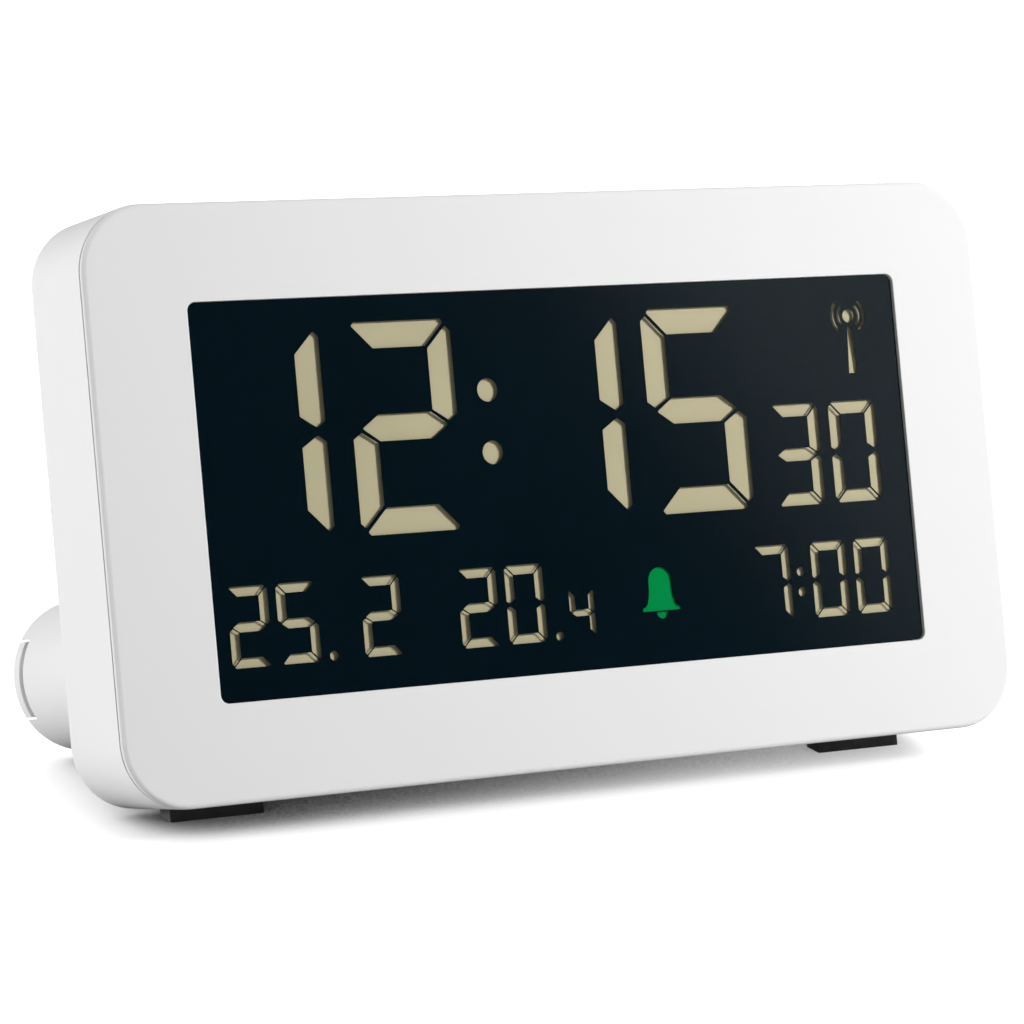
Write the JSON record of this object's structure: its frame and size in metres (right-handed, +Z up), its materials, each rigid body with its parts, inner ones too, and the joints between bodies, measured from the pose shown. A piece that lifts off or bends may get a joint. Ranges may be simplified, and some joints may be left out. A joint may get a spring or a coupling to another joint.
{
  "type": "digital alarm clock",
  "caption": "Slim slab-shaped digital alarm clock with a dark display window, leaning back on a battery foot, with a snooze bar on top and set buttons behind.",
  "frame": {"origin": "on the table, under the middle of the box around the clock as it stands on its four rubber feet", "axes": "+X to the right as the display is read, -Y out of the front towards the reader, +Z up"},
  "size_m": [0.142, 0.0488, 0.0807],
  "materials": {
    "white_plastic": "satin moulded plastic",
    "clear_plastic": "clear, polished",
    "display_glass": "near-black display glass",
    "dark_film": "smooth film",
    "black_plastic": "moulded, matt",
    "milky_plastic": "clear to milky, smooth",
    "pale_olive": "diffusing sheet",
    "foot_rubber": "matt",
    "contact_rubber": "matt",
    "circuit_board": "green lacquer",
    "plated_steel": "plated",
    "brass": "bare",
    "copper_wire": "enamelled",
    "ferrite": "pressed and ground",
    "cell_can": "plain coloured wrap",
    "red_sleeve": "smooth"
  },
  "bodies": {
    "case": {"front_bezel": "white_plastic", "window_lens": "clear_plastic", "rear_housing": "white_plastic", "case_screw_upper_left": "plated_steel", "case_screw_upper_right": "plated_steel", "case_screw_lower_left": "plated_steel", "case_screw_lower_right": "plated_steel", "front_foot_left": "foot_rubber", "front_foot_right": "foot_rubber", "rear_foot_left": "foot_rubber", "rear_foot_right": "foot_rubber", "display_frame": "black_plastic", "front_polariser": "dark_film", "lcd_cell": "display_glass", "rear_polariser": "dark_film", "light_guide": "milky_plastic", "reflector_sheet": "pale_olive", "connector_strip": "contact_rubber", "left_led": "milky_plastic", "right_led": "milky_plastic", "main_board": "circuit_board", "board_screw_1": "plated_steel", "board_screw_2": "plated_steel", "board_screw_3": "plated_steel", "board_screw_4": "plated_steel", "controller_chip": "black_plastic", "radio_chip": "black_plastic", "quartz_crystal": "plated_steel", "capacitor": "black_plastic", "temperature_sensor": "black_plastic", "piezo_disc": "brass", "ferrite_rod": "ferrite", "antenna_coil": "copper_wire", "plus_switch": "black_plastic", "minus_switch": "black_plastic", "set_switch": "black_plastic", "alarm_switch": "black_plastic", "wave_switch": "black_plastic", "reset_switch": "black_plastic", "slide_switch": "black_plastic", "snooze_switch": "black_plastic", "left_battery": "cell_can", "right_battery": "cell_can", "battery_spring": "plated_steel", "negative_plate": "plated_steel", "positive_plate": "plated_steel", "black_wire": "black_plastic", "red_wire": "red_sleeve"},
    "battery_door": {"battery_door": "white_plastic"},
    "plus_button": {"plus_button": "white_plastic"},
    "minus_button": {"minus_button": "white_plastic"},
    "set_button": {"set_button": "white_plastic"},
    "alarm_button": {"alarm_button": "white_plastic"},
    "wave_button": {"wave_button": "white_plastic"},
    "reset_button": {"reset_button": "white_plastic"},
    "snooze_bar": {"snooze_bar": "white_plastic"},
    "alarm_slider": {"alarm_slider": "white_plastic"}
  },
  "joints": [
    {"name": "battery_door_hinge", "type": "hinge", "parent": "case", "child": "battery_door", "pos_m": [0.06475, 0.02115, 0.01047], "axis": [0, -0.3144, -0.9493], "range_deg": [0, 75]},
    {"name": "plus_button_press", "type": "slide", "parent": "case", "child": "plus_button", "axis": [0, -0.9493, 0.3144], "range_m": [0, 0.0008], "stiffness_N_per_m": 1500},
    {"name": "minus_button_press", "type": "slide", "parent": "case", "child": "minus_button", "axis": [0, -0.9493, 0.3144], "range_m": [0, 0.0008], "stiffness_N_per_m": 1500},
    {"name": "set_button_press", "type": "slide", "parent": "case", "child": "set_button", "axis": [0, -0.9493, 0.3144], "range_m": [0, 0.0008], "stiffness_N_per_m": 1500},
    {"name": "alarm_button_press", "type": "slide", "parent": "case", "child": "alarm_button", "axis": [0, -0.9493, 0.3144], "range_m": [0, 0.0008], "stiffness_N_per_m": 1500},
    {"name": "wave_button_press", "type": "slide", "parent": "case", "child": "wave_button", "axis": [0, -0.9493, 0.3144], "range_m": [0, 0.0008], "stiffness_N_per_m": 1500},
    {"name": "reset_button_press", "type": "slide", "parent": "case", "child": "reset_button", "axis": [0, -0.9493, 0.3144], "range_m": [0, 0.0008], "stiffness_N_per_m": 1500},
    {"name": "snooze_bar_press", "type": "slide", "parent": "case", "child": "snooze_bar", "axis": [0, -0.3144, -0.9493], "range_m": [0, 0.0008], "stiffness_N_per_m": 1500},
    {"name": "alarm_slider_slide", "type": "slide", "parent": "case", "child": "alarm_slider", "axis": [1, 0, 0], "range_m": [0, 0.005]}
  ]
}
